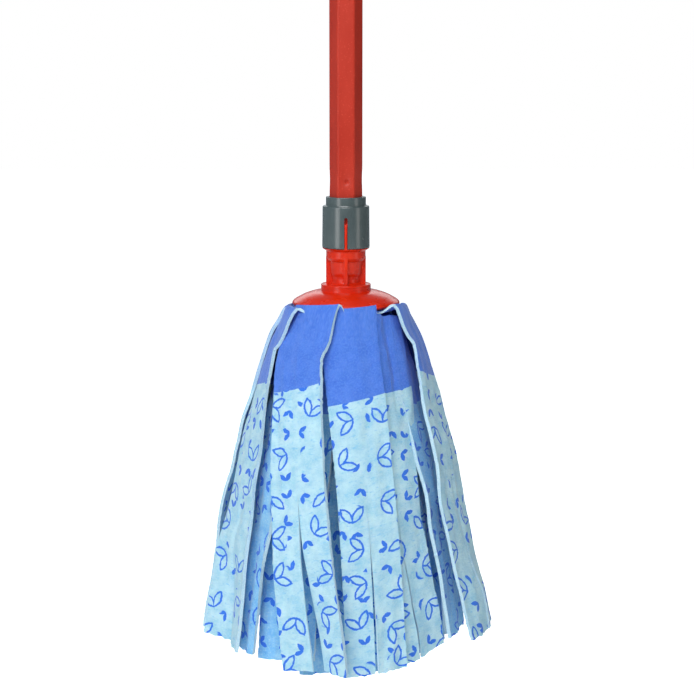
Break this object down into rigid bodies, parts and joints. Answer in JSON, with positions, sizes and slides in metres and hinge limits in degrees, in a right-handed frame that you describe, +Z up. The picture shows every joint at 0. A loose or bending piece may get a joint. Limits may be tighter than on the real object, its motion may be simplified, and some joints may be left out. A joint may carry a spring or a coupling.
{
  "type": "string mop",
  "caption": "Hand mop: hexagonal steel handle in lengths, slotted plastic adapter, and a domed head that clamps a skirt of slit non-woven cloth bands.",
  "frame": {"origin": "highest inside point of the hanging eye, on the handle's axis, where a hook holds the mop", "axes": "+Z up the handle, -Y to the front, +X to the right seen from the front"},
  "size_m": [0.2114, 0.2014, 1.4036],
  "materials": {
    "painted_tube": "satin red paint on thin steel tube",
    "grey_plastic": "smooth grey moulding, soft sheen",
    "red_plastic": "bright red moulding, semi gloss",
    "cloth": "soft non-woven cloth, pale blue with a darker blue middle zone"
  },
  "bodies": {
    "handle": {"end_cap": "grey_plastic", "upper_tube": "painted_tube", "upper_coupler": "grey_plastic", "middle_tube": "painted_tube", "lower_coupler": "grey_plastic", "lower_tube": "painted_tube", "handle_adapter": "grey_plastic"},
    "head": {"mop_socket": "red_plastic", "clamp_plate": "red_plastic", "cloth_band_01": "cloth", "cloth_band_02": "cloth", "cloth_band_03": "cloth", "cloth_band_04": "cloth", "cloth_band_05": "cloth", "cloth_band_06": "cloth", "cloth_band_07": "cloth", "cloth_band_08": "cloth", "cloth_band_09": "cloth", "cloth_band_10": "cloth", "cloth_band_11": "cloth", "cloth_band_12": "cloth"}
  },
  "joints": [
    {"name": "head_pull", "type": "slide", "parent": "handle", "child": "head", "axis": [0, 0, -1], "range_m": [0, 0.05]}
  ]
}
